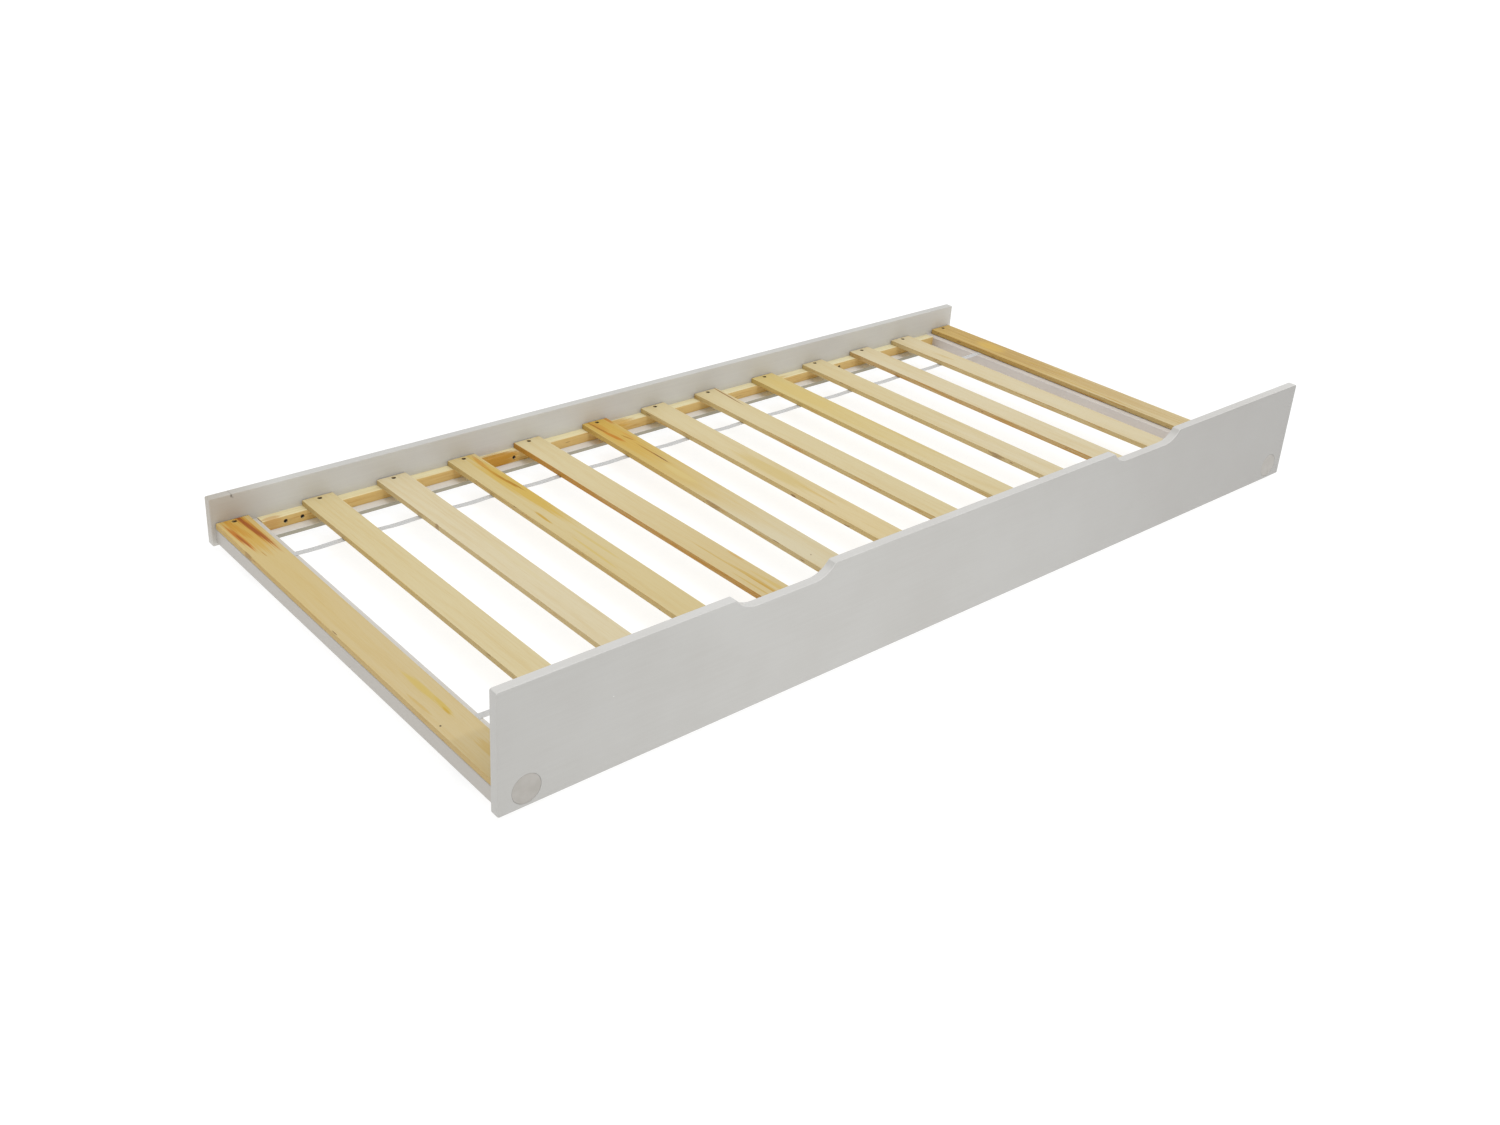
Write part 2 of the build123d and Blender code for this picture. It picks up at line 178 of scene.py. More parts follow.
def paint(name, light, dark, seed, marks=(), front=None, left=None, mark_plane="XZ"):
    """Satin paint over wood: faint grain along X or Y, fine stipple, soft blotches and marks.

    marks holds (middle, size, colour, strength) spots on the face seen along mark_plane.
    front is painted shade on forward faces, given at the left end, left of the middle and at the
    right end. left is painted shade on the faces that look left."""
    shader = Shader(name)
    if mark_plane == "XZ":
        cells = (PAINT_ALONG, PAINT_ACROSS, PAINT_ACROSS)
    else:
        cells = (PAINT_ACROSS, PAINT_ALONG, PAINT_ACROSS)
    shifted = shader.mapped(shader.place, location=(seed, seed * 0.7, seed * 0.3))
    blotch = shader.noise(shifted, BLOTCH_CELLS, detail=4.0)
    stipple = shader.noise(shifted, STIPPLE_CELLS, detail=2.0, roughness=0.6)
    grain = shader.noise(shader.mapped(shifted, scale=cells), 1.0, detail=5.0, roughness=0.6)
    amount = shader.add(shader.times(blotch, 0.55), shader.times(stipple, 0.2))
    amount = shader.add(amount, shader.times(grain, 0.25))
    colour = shader.mix(shader.remap(amount, 0.34, 0.66), dark, light)
    # painted shade: forward faces darkened by a share that changes along X, standing in for light
    # falling off
    if front is not None:
        x = shader.axis(shader.place, "X")
        shade = shader.mix(shader.remap(x, -1.0, -0.4), front[0], front[1])
        shade = shader.mix(shader.remap(x, -0.45, 1.35), shade, front[2])
        colour = shader.mix(shader.facing("Y", -1.0), colour, shade, blend="MULTIPLY")
    # painted shade on the faces that look left
    if left is not None:
        colour = shader.mix(shader.facing("X", -1.0), colour, left, blend="MULTIPLY")
    turned = shader.node("ShaderNodeCombineXYZ", {
        "X": shader.axis(shader.place, "X"),
        "Y": shader.axis(shader.place, "Z" if mark_plane == "XZ" else "Y"),
    }, "Vector")
    for middle, size, mark, strength in marks:
        mask = shader.times(shader.spot(turned, middle, size, core=0.2), strength)
        colour = shader.mix(mask, colour, mark)
    rough = shader.remap(shader.add(shader.times(grain, 0.5), shader.times(blotch, 0.5)),
                         0.35, 0.65, 0.36, 0.50)
    normal = shader.bump(grain, 0.00035, 0.35)
    normal = shader.bump(stipple, 0.00012, 0.5, below=normal)
    return shader.finish(colour, rough, normal)


# ---- pine ----

CREAM = tone(218, 205, 170)
PALE = tone(216, 201, 158)
HONEY = tone(200, 168, 90)
AMBER = tone(180, 126, 30)
RUST = tone(158, 84, 10)
UMBER = tone(112, 66, 22)
# near black used for small dark specks and for painted shade in the screw holes
SPECK_AND_HOLE_SHADE = tone(46, 32, 18)
SIDE_SHADE = tone(226, 214, 188)
HOLE_RIM = 0.0052

# Noise cells per metre across, along and through a board
FLOW_CELLS = (34.0, 2.2, 34.0)
BEND_CELLS = (22.0, 1.1, 22.0)
FIBRE_CELLS = (1300.0, 22.0, 1300.0)
HAIR_CELLS = (520.0, 4.0, 520.0)
DASH_CELLS = (60.0, 9.0, 260.0)
NICK_CELLS = (90.0, 26.0, 240.0)

# Growth lines: radians per metre across and through the board, and radians of bending
RING_ACROSS = 520.0
RING_THROUGH = 420.0
RING_BEND = 46.0

# Shares of growth lines, fibres and slow changes in the grain, and how far it darkens
RING_SHARE = 0.08
FIBRE_SHARE = 0.52
FLOW_SHARE = 0.40
GRAIN_STRENGTH = 0.42

# End grain: how far the board lies to the right of the tree's heart and above it, and
# radians per metre of distance from the heart
HEART = (0.012, 0.0, 0.035)
END_RINGS = 2600.0


def streak(from_back, across, length, wide, colour, strength, slant=0.0, hair=0.6):
    """A resin or heartwood streak on a slat: distance from its back end, offset to the right,
    half length, half width, colour, strength, slant in degrees and share made of fine lines."""
    return {"from_back": from_back, "across": across, "length": length, "wide": wide,
            "colour": colour, "strength": strength, "slant": slant, "hair": hair}


def pine(name, tones, seed, half_length, along="Y", axis=(0.0, 0.0, 0.0), turn=0.0,
         side=0.35, side_tone=HONEY, side_blend=0.2, streaks=(), holes=()):
    """Planed pine: two tones that change along the board, growth lines, fibres, streaks,
    painted shade in the screw holes, end grain, and sides with resin lines and nicks.

    side is how marked the long sides are, from 0 to 1. holes are distances from the back end."""
    shader = Shader(name)
    back, front = tones
    centred = shader.mapped(shader.place, location=tuple(-value for value in axis))
    quarter = 0.0 if along == "Y" else math.pi / 2
    board = shader.mapped(centred, turn=turn + quarter)
    moved = shader.mapped(board, location=(seed * 1.7, seed * 3.1, seed))
    flow = shader.noise(shader.mapped(moved, scale=FLOW_CELLS), 1.0, detail=4.0,
                        roughness=0.55, distortion=0.5)
    # tone from the front end to the back end, with an uneven border
    reach = shader.add(shader.times(shader.axis(board, "Y"), 0.5 / half_length), 0.5)
    reach = shader.add(reach, shader.times(shader.add(flow, -0.5), 0.5))
    colour = shader.mix(shader.remap(reach, 0.25, 0.85), front, back)
    # growth lines: bands across the board, bent and spaced unevenly by a slow noise
    bend = shader.noise(shader.mapped(moved, scale=BEND_CELLS), 1.0, detail=3.0)
    across = shader.axis(moved, "X")
    height = shader.axis(moved, "Z")
    rings = shader.add(shader.times(across, RING_ACROSS), shader.times(height, RING_THROUGH))
    rings = shader.add(rings, shader.times(bend, RING_BEND))
    rings = shader.remap(shader.math("SINE", rings), -0.2, 1.0)
    fibre = shader.noise(shader.mapped(moved, scale=FIBRE_CELLS), 1.0,
                         detail=3.0, roughness=0.65)
    amount = shader.add(shader.times(rings, RING_SHARE), shader.times(fibre, FIBRE_SHARE))
    amount = shader.add(amount, shader.times(flow, FLOW_SHARE))
    darker = shader.times(shader.remap(amount, 0.38, 0.72), GRAIN_STRENGTH)
    colour = shader.mix(darker, colour, HONEY)
    # sides a little darker and of their own tone
    normal_axis = "X" if along == "Y" else "Y"
    on_side = shader.add(shader.facing(normal_axis, -1.0), shader.facing(normal_axis, 1.0))
    colour = shader.mix(shader.times(on_side, 0.8), colour, SIDE_SHADE, blend="MULTIPLY")
    colour = shader.mix(shader.times(on_side, side_blend), colour, side_tone)
    # resin and heartwood: a core that breaks up into fine lines, which stay inside the streak
    hairs = shader.remap(shader.noise(shader.mapped(moved, scale=HAIR_CELLS), 1.0,
                                      detail=3.0, roughness=0.7), 0.36, 0.62, -0.5, 0.5)
    for item in streaks:
        middle = (item["across"], half_length - item["from_back"])
        mask = shader.spot(board, middle, (item["wide"], item["length"]),
                           turn=math.radians(item["slant"]))
        inside = shader.times(hairs, shader.remap(mask, 0.0, 0.25))
        mask = shader.add(mask, shader.times(inside, item["hair"]))
        mask = shader.times(shader.remap(mask, 0.15, 0.65), item["strength"])
        colour = shader.mix(mask, colour, item["colour"])
    # painted shade in each screw recess, with a darker ring round it on the face
    for from_back in holes:
        mask = shader.spot(board, (0.0, half_length - from_back), (HOLE_RIM, HOLE_RIM), core=0.7)
        colour = shader.mix(shader.times(mask, 0.96), colour, SPECK_AND_HOLE_SHADE)
    # broken resin lines and nicks along the sides
    dash = shader.noise(shader.mapped(moved, scale=DASH_CELLS), 1.0, detail=4.0, roughness=0.65)
    dash = shader.remap(dash, 0.60 - 0.16 * side, 0.74 - 0.16 * side)
    dash = shader.times(shader.times(dash, on_side), 0.35 + 0.5 * side)
    colour = shader.mix(dash, colour, AMBER)
    nick = shader.noise(shader.mapped(moved, scale=NICK_CELLS), 1.0, detail=2.0)
    nick = shader.remap(nick, 0.68, 0.75)
    colour = shader.mix(shader.times(shader.times(nick, on_side), 0.8), colour, UMBER)
    # end grain: dark and light arcs about a point under the board
    end_axis = "Y" if along == "Y" else "X"
    on_end = shader.add(shader.facing(end_axis, -1.0), shader.facing(end_axis, 1.0))
    below = shader.mapped(board, location=HEART, scale=(1.0, 0.0, 1.0))
    radius = shader.node("ShaderNodeVectorMath", {0: below}, "Value", operation="LENGTH")
    arcs = shader.remap(shader.math("SINE", shader.times(radius, END_RINGS)), -0.4, 1.0)
    arcs = shader.mix(arcs, tone(196, 164, 106), tone(160, 118, 62))
    colour = shader.mix(shader.times(on_end, 0.85), colour, arcs)
    rough = shader.remap(shader.add(fibre, shader.times(rings, -0.3)), 0.1, 0.7, 0.52, 0.72)
    normal = shader.bump(rings, 0.00006, 0.4)
    normal = shader.bump(fibre, 0.00012, 0.6, below=normal)
    return shader.finish(colour, rough, normal)


SLAT_LOOKS = {
    "slat_end_left": dict(tones=(tone(207, 184, 126), tone(208, 189, 143)), side=0.3, streaks=[
        streak(0.04, 0.0, 0.170, 0.045, tone(203, 162, 68), 0.85, hair=0.35),
        streak(0.040, -0.008, 0.070, 0.0100, tone(196, 140, 40), 0.7, slant=-8.0, hair=0.7),
        streak(0.0, 0.010, 0.215, 0.0120, tone(186, 124, 24), 1.0, slant=-4.1, hair=0.5),
        streak(0.035, 0.0125, 0.130, 0.0072, RUST, 1.0, slant=-4.1, hair=0.5),
        streak(0.072, -0.0190, 0.085, 0.0075, tone(190, 120, 36), 1.0, slant=-2.9, hair=0.45),
        streak(0.082, -0.0184, 0.050, 0.0038, RUST, 0.8, slant=-2.9, hair=0.4),
        streak(0.150, -0.0087, 0.018, 0.0016, AMBER, 0.7, slant=-4.0, hair=0.3),
        streak(0.135, -0.0310, 0.020, 0.0016, UMBER, 0.4, hair=0.6),
        streak(0.450, -0.0290, 0.016, 0.0018, UMBER, 0.8, hair=0.4),
        streak(0.660, 0.004, 0.085, 0.010, tone(206, 180, 96), 0.9, slant=-1.0, hair=0.3),
        streak(0.720, 0.006, 0.055, 0.007, tone(204, 176, 84), 0.9, slant=2.0, hair=0.35),
        streak(0.735, 0.004, 0.022, 0.0035, tone(196, 158, 44), 0.8, slant=2.0, hair=0.2),
        streak(0.700, -0.020, 0.050, 0.004, HONEY, 0.6, slant=-2.0, hair=0.5),
        streak(0.860, 0.004, 0.060, 0.018, HONEY, 0.6, hair=0.5),
        streak(0.763, -0.0225, 0.0028, 0.0028, SPECK_AND_HOLE_SHADE, 1.0, hair=0.0),
    ]),
    "slat_01": dict(tones=(tone(214, 198, 152), PALE), side=0.3, streaks=[
        streak(0.30, -0.031, 0.24, 0.0025, HONEY, 0.5, hair=0.5),
    ]),
    "slat_02": dict(tones=(CREAM, CREAM), side=0.3, streaks=[
        streak(0.222, -0.031, 0.010, 0.0022, UMBER, 0.45, hair=0.5),
        streak(0.42, 0.010, 0.20, 0.008, PALE, 0.6, hair=0.4),
    ]),
    "slat_03": dict(tones=(tone(211, 193, 142), tone(212, 194, 144)), side=0.5, streaks=[
        streak(0.170, 0.016, 0.290, 0.0270, tone(207, 174, 80), 1.0, slant=-0.8, hair=0.35),
        streak(0.050, 0.016, 0.070, 0.0075, tone(200, 148, 60), 0.9, slant=7.0, hair=0.6),
        streak(0.115, 0.013, 0.085, 0.0065, tone(192, 144, 40), 1.0, slant=-1.5, hair=0.6),
        streak(0.145, 0.0165, 0.075, 0.0050, tone(178, 126, 20), 1.0, slant=-5.6, hair=0.45),
        streak(0.305, -0.0124, 0.044, 0.0044, tone(198, 158, 54), 0.95, slant=1.6, hair=0.4),
        streak(0.470, -0.014, 0.110, 0.0040, tone(208, 182, 104), 0.8, slant=2.0, hair=0.4),
        streak(0.440, 0.008, 0.120, 0.0050, tone(208, 184, 110), 0.7, slant=-1.0, hair=0.5),
    ]),
    "slat_04": dict(tones=(PALE, tone(210, 190, 140)),
                    side=1.0, side_tone=AMBER, side_blend=0.6, streaks=[
        streak(0.60, -0.004, 0.110, 0.0030, HONEY, 0.8, slant=-0.6, hair=0.5),
        streak(0.70, -0.001, 0.100, 0.0055, HONEY, 0.9, slant=-0.8, hair=0.5),
        streak(0.74, -0.003, 0.080, 0.0035, tone(194, 150, 48), 0.8, slant=-0.8, hair=0.5),
        streak(0.72, -0.018, 0.080, 0.0035, HONEY, 0.8, hair=0.5),
        streak(0.76, 0.014, 0.120, 0.0080, tone(206, 178, 104), 0.8, hair=0.6),
        streak(0.62, 0.026, 0.035, 0.0035, tone(206, 160, 74), 0.7, hair=0.3),
        streak(0.13, -0.0315, 0.300, 0.0030, AMBER, 0.9, hair=0.4),
    ]),
    "slat_05": dict(tones=(tone(208, 180, 104), tone(214, 202, 168)), side=0.4, streaks=[
        streak(0.060, 0.0, 0.260, 0.045, tone(205, 167, 70), 0.85, hair=0.4),
        streak(0.030, -0.010, 0.045, 0.0110, tone(200, 144, 46), 0.7, slant=-4.0, hair=0.8),
        streak(0.055, -0.0138, 0.105, 0.0046, tone(170, 112, 22), 1.0, slant=-4.4, hair=0.4),
        streak(0.088, -0.0115, 0.052, 0.0080, tone(194, 126, 16), 1.0, slant=-6.0, hair=0.3),
        streak(0.107, 0.0088, 0.032, 0.0040, tone(176, 122, 30), 0.9, slant=-12.0, hair=0.3),
        streak(0.195, 0.0075, 0.105, 0.0030, tone(172, 124, 44), 1.0, hair=0.35),
        streak(0.222, 0.0080, 0.045, 0.0026, tone(134, 88, 34), 1.0, slant=1.5, hair=0.2),
        streak(0.012, 0.026, 0.040, 0.0060, tone(190, 124, 36), 0.9, hair=0.3),
        streak(0.100, 0.017, 0.040, 0.0050, tone(206, 152, 58), 0.7, slant=-2.0, hair=0.4),
        streak(0.300, -0.004, 0.080, 0.0140, tone(213, 190, 122), 0.8, hair=0.4),
        streak(0.440, -0.031, 0.030, 0.0014, UMBER, 0.35, hair=0.8),
        streak(0.694, -0.012, 0.0040, 0.0016, UMBER, 0.8, slant=40.0, hair=0.0),
    ]),
    "slat_06": dict(tones=(PALE, tone(218, 200, 154)), side=0.35, streaks=[
        streak(0.40, -0.002, 0.190, 0.030, tone(209, 187, 126), 0.95, slant=-1.0, hair=0.3),
        streak(0.52, 0.002, 0.090, 0.006, tone(208, 178, 108), 0.7, slant=1.5, hair=0.5),
    ]),
    "slat_07": dict(tones=(PALE, PALE), side=0.55, streaks=[
        streak(0.045, 0.0233, 0.105, 0.0030, tone(150, 106, 52), 1.0, slant=4.1, hair=0.2),
    ]),
    "slat_08": dict(tones=(tone(214, 194, 130), PALE), side=0.45, streaks=[
        streak(0.12, 0.000, 0.180, 0.030, tone(212, 188, 116), 0.8, hair=0.4),
    ]),
    "slat_09": dict(tones=(PALE, CREAM), side=0.35, streaks=[
        streak(0.595, -0.031, 0.030, 0.0018, UMBER, 0.45, hair=0.8),
    ]),
    "slat_10": dict(tones=(CREAM, CREAM), side=0.75, side_tone=AMBER, side_blend=0.35, streaks=[]),
    "slat_11": dict(tones=(CREAM, CREAM), side=0.5, streaks=[
        streak(0.145, -0.004, 0.050, 0.007, HONEY, 0.4, slant=-6.0, hair=0.6),
    ]),
    "slat_end_right": dict(tones=(tone(205, 175, 106), tone(212, 194, 150)), side=0.5, streaks=[
        streak(0.180, 0.0, 0.320, 0.050, tone(178, 138, 62), 0.6, hair=1.3),
        streak(0.165, 0.0, 0.070, 0.030, tone(212, 176, 84), 0.8, hair=0.5),
        streak(0.560, 0.004, 0.300, 0.040, tone(188, 152, 82), 0.5, hair=1.3),
        streak(0.080, -0.006, 0.070, 0.0060, HONEY, 0.8, slant=2.0, hair=0.5),
        streak(0.300, -0.001, 0.030, 0.0035, tone(168, 120, 44), 0.9, hair=0.3),
        streak(0.290, 0.001, 0.055, 0.0060, HONEY, 0.8, hair=0.4),
        streak(0.390, 0.002, 0.050, 0.0035, HONEY, 0.8, hair=0.5),
        streak(0.550, -0.022, 0.040, 0.0025, AMBER, 0.7, hair=0.4),
        streak(0.450, -0.020, 0.300, 0.0060, HONEY, 0.6, hair=0.6),
    ]),
}


def board_axis(node):
    """Middle point, half length and turn from +Y of a board that runs along Y."""
    low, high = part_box(node)
    tip = 0.004  # corners this near to an end belong to it
    corners = [vertex.co for vertex in NODES[node].data.vertices]
    back = [co.x for co in corners if co.y > high.y - tip]
    front = [co.x for co in corners if co.y < low.y + tip]
    back_x = (min(back) + max(back)) / 2
    front_x = (min(front) + max(front)) / 2
    half = (high.y - low.y) / 2
    middle = ((back_x + front_x) / 2, (high.y + low.y) / 2, low.z)
    return middle, half, math.atan2(back_x - front_x, 2 * half)


# ---- metal, plastic and weave ----

# Noise cells per metre, and the width of a thread and its gap in metres
SCRATCH_CELLS = (2400.0, 260.0, 900.0)
SPARK_CELLS = 2600.0
CLOUD_CELLS = 60.0
SLUB_CELLS = (60.0, 1500.0, 300.0)
THREAD = 0.0007


def metal(name, light, dark, seed, rough=(0.28, 0.45), grain=700.0):
    """Plated or blackened steel with a fine uneven film and small scratches."""
    shader = Shader(name)
    shifted = shader.mapped(shader.place, location=(seed, seed, seed))
    film = shader.noise(shifted, grain, detail=4.0, roughness=0.6)
    scratch = shader.noise(shader.mapped(shifted, scale=SCRATCH_CELLS), 1.0, detail=2.0)
    colour = shader.mix(shader.remap(film, 0.35, 0.65), dark, light)
    roughness = shader.remap(shader.add(film, shader.times(scratch, 0.5)), 0.5, 1.0, *rough)
    normal = shader.bump(scratch, 0.00004, 0.6)
    return shader.finish(colour, roughness, normal, metallic=1.0)


def plastic(name, light, dark, seed, rough=(0.38, 0.52)):
    """Moulded plastic with a fine spark-eroded texture."""
    shader = Shader(name)
    shifted = shader.mapped(shader.place, location=(seed, seed, seed))
    cloud = shader.noise(shifted, CLOUD_CELLS, detail=3.0)
    fine = shader.noise(shifted, SPARK_CELLS, detail=2.0, roughness=0.7)
    amount = shader.add(cloud, shader.times(fine, 0.4))
    colour = shader.mix(shader.remap(amount, 0.5, 0.9), dark, light)
    roughness = shader.remap(fine, 0.3, 0.7, *rough)
    return shader.finish(colour, roughness, shader.bump(fine, 0.00005, 0.7))


def weave(name, seed):
    """Plain-woven polyester tape: warp along X, weft along Y, with thread shadows between."""
    shader = Shader(name)
    pitch = 2 * math.pi / THREAD
    warp = shader.math("SINE", shader.times(shader.axis(shader.place, "Y"), pitch))
    weft = shader.math("SINE", shader.times(shader.axis(shader.place, "X"), pitch))
    over = shader.add(shader.times(shader.times(warp, weft), 0.5), 0.5)
    shifted = shader.mapped(shader.place, location=(seed, 0, 0), scale=SLUB_CELLS)
    slub = shader.noise(shifted, 1.0, detail=4.0)
    colour = shader.mix(shader.remap(over, 0.15, 0.85), tone(190, 190, 190), tone(224, 224, 222))
    colour = shader.mix(shader.remap(slub, 0.55, 0.75, 0.0, 0.35), colour, tone(196, 195, 190))
    rough = shader.remap(slub, 0.3, 0.7, 0.75, 0.92)
    normal = shader.bump(over, 0.00018, 0.9)
    return shader.finish(colour, rough, normal)


# ---- woven tapes ----

TAPE_SAG = 0.0012
TAPE_SELVEDGE = 0.0003
TAPE_STEP = 0.006
# Middle point of the tape's rounded edge, as shares of half the thickness
EDGE_IN = 0.3
EDGE_UP = 0.72


def tape_rows(width, thick):
    """Half-round-edged cross-section of the tape as (Y, Z) pairs about its middle."""
    half = width / 2
    up = thick / 2
    top = [(-half, 0.0), (-half + up * EDGE_IN, up * EDGE_UP), (-half + up, up)]
    across = [(-half + width * share, up) for share in (0.25, 0.5, 0.75)]
    right = [(-y, z) for y, z in reversed(top)]
    upper = top + across + right
    lower = [(y, -z) for y, z in reversed(upper[1:-1])]
    return upper + lower


def tape_supports(y):
    """X spans in which the tape is pressed against a slat or a rail at this Y."""
    spans = []
    for node in SLAT_LOOKS:
        middle, half, turn = board_axis(node)
        centre = middle[0] + math.tan(turn) * (y - middle[1])
        low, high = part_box(node)
        reach = (high.x - low.x - abs(math.tan(turn)) * 2 * half) / 2
        spans.append((centre - reach, centre + reach))
    return spans


def tape_drop(x, spans):
    """How far the tape hangs at X: nothing under a slat, most half way between two."""
    for (_, left), (right, _) in zip(spans, spans[1:]):
        if left < x < right:
            share = (x - left) / (right - left)
            return TAPE_SAG * math.sin(math.pi * share) ** 2
    return 0.0


def woven_tape(name, node):
    """The slat tape as a thin woven band that hangs a little between the slats."""
    low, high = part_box(node)
    thick = high.z - low.z
    y = (low.y + high.y) / 2
    spans = tape_supports(y)
    rows = tape_rows(high.y - low.y, thick - 2 * TAPE_SELVEDGE)
    rail_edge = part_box("end_rail_right")[0].x
    steps = round((high.x - low.x) / TAPE_STEP)
    mesh = bmesh.new()
    rings = []
    for index in range(steps + 1):
        x = low.x + (high.x - low.x) * index / steps
        hang = tape_drop(x, spans) if abs(x) < rail_edge else 0.0
        middle = Vector((x, y, high.z - thick / 2 - hang))
        rings.append([mesh.verts.new(middle + Vector((0, dy, dz))) for dy, dz in rows])
    for one, two in zip(rings, rings[1:]):
        for index in range(len(rows)):
            after = (index + 1) % len(rows)
            mesh.faces.new((one[index], two[index], two[after], one[after]))
    mesh.faces.new(rings[0])
    mesh.faces.new(list(reversed(rings[-1])))
    bmesh.ops.recalc_face_normals(mesh, faces=mesh.faces)
    data = bpy.data.meshes.new(name)
    mesh.to_mesh(data)
    mesh.free()
    for face in data.polygons:
        face.use_smooth = len(face.vertices) == 4
    tape = bpy.data.objects.new(name, data)
    bpy.context.scene.collection.objects.link(tape)
    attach(tape, "frame")
    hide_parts(node)
    return tape


# ---- dressing the frame ----

def dress(piece, material):
    piece.data.materials.clear()
    piece.data.materials.append(material)
    for face in piece.data.polygons:
        face.material_index = 0


def dress_panels():
    # front and left give the panel's forward faces and left end face painted shade
    front = paint("paint_front_panel", tone(216, 215, 212), tone(208, 206, 202), 3.1,
                  front=(tone(225, 225, 224), tone(233, 233, 232), tone(203, 202, 201)),
                  left=tone(231, 231, 230), marks=[
        # a faint grey patch and a pale speck
        ((-0.5527, 0.1137), (0.013, 0.010), tone(188, 186, 182), 0.22),
        ((-0.7826, 0.1375), (0.0016, 0.0012), tone(228, 228, 226), 0.9),
    ])
    dress(NODES["front_panel"], front)
    back = paint("paint_back_panel", tone(207, 206, 201), tone(198, 196, 192), 8.4, marks=[
        # a brownish patch at the left end, and a dark chip made of two spots
        ((-0.985, 0.080), (0.160, 0.090), tone(168, 156, 138), 0.55),
        ((-0.9332, 0.1045), (0.0026, 0.0050), tone(96, 90, 84), 0.85),
        ((-0.9305, 0.1010), (0.0018, 0.0028), tone(120, 112, 104), 0.6),
    ])
    dress(NODES["back_panel"], back)


def dress_rails():
    # the third tone is painted shade on the faces that look left
    looks = {
        "end_rail_left": (tone(214, 211, 205), tone(206, 202, 195), tone(226, 224, 222)),
        "end_rail_right": (tone(216, 210, 204), tone(207, 201, 196), tone(244, 242, 241)),
    }
    for seed, (node, (light, dark, left)) in enumerate(looks.items()):
        dress(NODES[node], paint(f"paint_{node}", light, dark, 12.0 + seed, left=left,
                                 mark_plane="XY"))
    # painted shade: the ledgers' forward faces are made darker and browner, as the thin edge in
    # shade under the batten
    edge = tone(186, 182, 166)
    for seed, node in enumerate(("ledger_front", "ledger_back")):
        dress(NODES[node], paint(f"paint_{node}", tone(224, 223, 220), tone(215, 213, 210),
                                 21.0 + seed, front=(edge, edge, edge)))


def hole_places(middle, half):
    """Distance of the two screws from a slat's back end: one over the middle of each batten."""
    reach = (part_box("batten_back")[0].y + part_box("batten_back")[1].y) / 2
    return [half + middle[1] - y for y in (reach, -reach)]


def dress_wood():
    for seed, (node, look) in enumerate(SLAT_LOOKS.items()):
        middle, half, turn = board_axis(node)
        dress(NODES[node], pine(f"pine_{node}", seed=seed + 1.0, half_length=half, axis=middle,
                                turn=turn, holes=hole_places(middle, half), **look))
    for seed, node in enumerate(("batten_front", "batten_back")):
        low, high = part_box(node)
        middle = ((low.x + high.x) / 2, (low.y + high.y) / 2, low.z)
        half = (high.x - low.x) / 2
        # a batten's streaks count from its right end: half - x is the place x from its middle
        dress(NODES[node], pine(f"pine_{node}", (tone(236, 228, 190), tone(236, 226, 184)),
                                31.0 + seed, half, along="X", axis=middle, side=0.3,
                                side_tone=tone(211, 168, 84), side_blend=0.6, streaks=[
            streak(half + 0.400, 0.008, 0.080, 0.024, tone(186, 132, 20), 0.95, hair=0.5),
            streak(half + 0.095, 0.004, 0.070, 0.022, tone(206, 160, 62), 0.8, hair=0.6),
            streak(half + 0.870, 0.006, 0.030, 0.012, tone(200, 150, 80), 0.6, hair=0.4),
            streak(half - 0.360, 0.004, 0.060, 0.014, tone(214, 182, 104), 0.6, hair=0.4),
        ]))
    dress(NODES["rail_dowels"], pine("beech_dowels", (tone(206, 176, 130), tone(190, 156, 108)),
                                     44.0, 0.02, side=0.0))


def dress_hardware():
    # the slat and batten screw heads are near black, partly as painted shade of the recesses they
    # sit in
    dark = plastic("dark_screw_and_hole_shade", tone(26, 20, 13), tone(14, 11, 7), 5.0, rough=(0.6, 0.75))
    zinc = metal("zinc_screw", tone(190, 190, 186), tone(160, 160, 158), 6.0)
    dress(NODES["slat_screws"], dark)
    dress(NODES["batten_screws"], dark)
    dress(NODES["ledger_screws"], zinc)
    dress(NODES["bracket_screws"], zinc)
    dress(NODES["rail_bolts"], metal("bolt_steel", tone(176, 176, 178), tone(146, 146, 150), 7.0))
    dress(NODES["tape_staples"], metal("staple_wire", tone(198, 197, 192), tone(172, 170, 166), 9.0))
    disc = plastic("cover_disc", tone(180, 176, 170), tone(172, 168, 161), 2.0)
    nylon = plastic("wheel_nylon", tone(92, 93, 96), tone(74, 75, 78), 4.0, rough=(0.32, 0.46))
    steel = metal("bracket_zinc", tone(196, 197, 194), tone(158, 160, 162), 10.0, grain=260.0)
    pin = metal("axle_steel", tone(182, 183, 186), tone(150, 150, 154), 11.0)
    for node, piece in NODES.items():
        if node.startswith("cover_disc"):
            dress(piece, disc)
        elif node.startswith("wheel_bracket"):
            dress(piece, steel)
        elif node.startswith("wheel_"):
            dress(piece, nylon)
        elif node.startswith("axle_"):
            dress(piece, pin)


def dress_tapes():
    for seed, end in enumerate(("front", "back")):
        tape = woven_tape(f"woven_tape_{end}", f"slat_tape_{end}")
        tape.data.materials.append(weave(f"tape_weave_{end}", 2.0 + seed))


# ---- studio ----

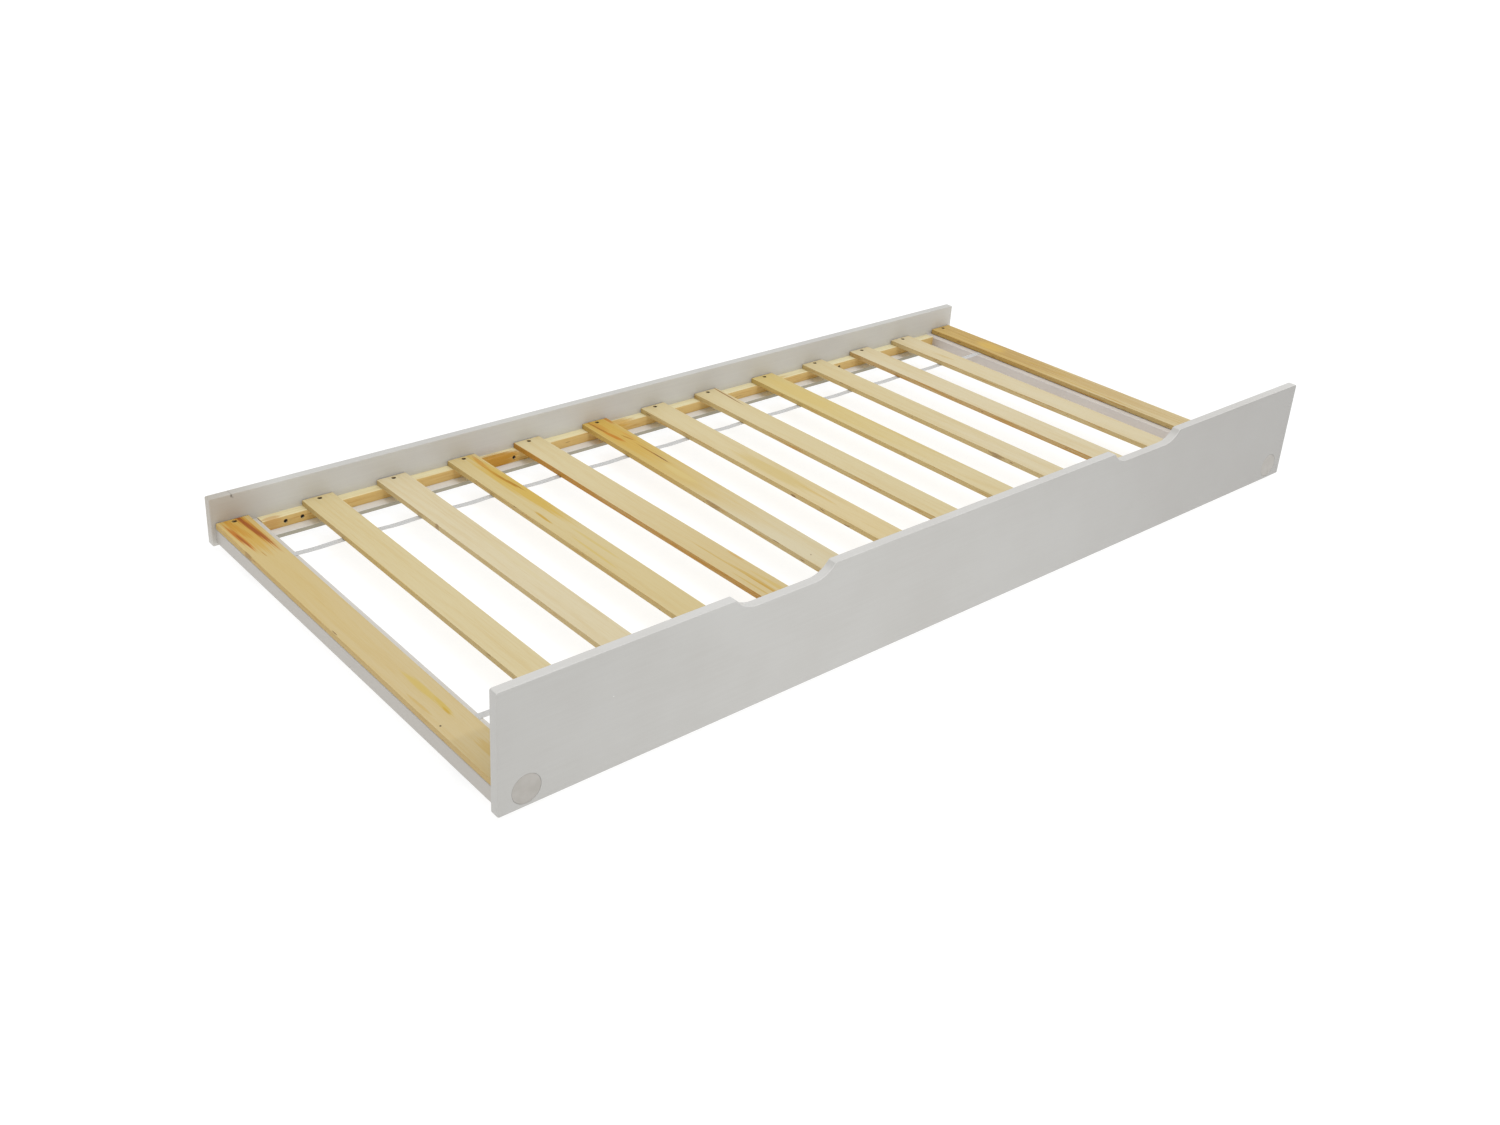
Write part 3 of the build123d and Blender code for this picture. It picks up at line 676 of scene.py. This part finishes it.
def floor():
    data = bpy.data.meshes.new("floor")
    half = FLOOR_SIDE / 2
    corners = [(-half, -half, 0), (half, -half, 0), (half, half, 0), (-half, half, 0)]
    data.from_pydata(corners, [], [(0, 1, 2, 3)])
    shader = Shader("floor_paper")
    fibre = shader.noise(shader.place, FLOOR_CELLS, detail=3.0)
    colour = shader.mix(shader.remap(fibre, 0.3, 0.7), tone(138, 138, 138), tone(142, 142, 142))
    material = shader.finish(colour, 0.9)
    shader.surface.inputs["Emission Color"].default_value = (1.0, 1.0, 1.0, 1.0)
    shader.surface.inputs["Emission Strength"].default_value = FLOOR_GLOW
    data.materials.append(material)
    plane = bpy.data.objects.new("floor", data)
    bpy.context.scene.collection.objects.link(plane)


def lights():
    world = bpy.data.worlds.new("studio")
    world.use_nodes = True
    sky = world.node_tree.nodes["Background"]
    sky.inputs["Color"].default_value = (1.0, 1.0, 1.0, 1.0)
    sky.inputs["Strength"].default_value = SKY_STRENGTH
    bpy.context.scene.world = world
    for name, look in (("key", KEY), ("top", TOP)):
        lamp = bpy.data.lights.new(name, "SUN")
        lamp.energy = look["strength"]
        lamp.angle = math.radians(look["softness"])
        lift = math.radians(look["elevation"])
        towards = Vector((0.0, -math.cos(lift), math.sin(lift)))
        made = bpy.data.objects.new(name, lamp)
        made.location = towards * LAMP_DISTANCE
        made.rotation_euler = towards.to_track_quat("Z", "Y").to_euler()
        bpy.context.scene.collection.objects.link(made)


def camera():
    data = bpy.data.cameras.new("camera")
    data.lens = CAMERA_LENS
    data.sensor_width = CAMERA_SENSOR
    data.shift_x, data.shift_y = CAMERA_SHIFT
    data.clip_end = CAMERA_REACH
    azimuth = math.radians(CAMERA_AZIMUTH)
    elevation = math.radians(CAMERA_ELEVATION)
    flat = math.cos(elevation)
    back = Vector((math.sin(azimuth) * flat, -math.cos(azimuth) * flat, math.sin(elevation)))
    level = (-back).to_track_quat("-Z", "Y").to_matrix().to_4x4()
    roll = Matrix.Rotation(math.radians(CAMERA_ROLL), 4, "Z")
    made = bpy.data.objects.new("camera", data)
    made.matrix_world = Matrix.Translation(CAMERA_PLACE) @ level @ roll
    bpy.context.scene.collection.objects.link(made)
    bpy.context.scene.camera = made


dress_panels()
dress_rails()
dress_wood()
dress_hardware()
dress_tapes()
floor()
lights()
camera()
bpy.context.scene.view_settings.view_transform = "Standard"
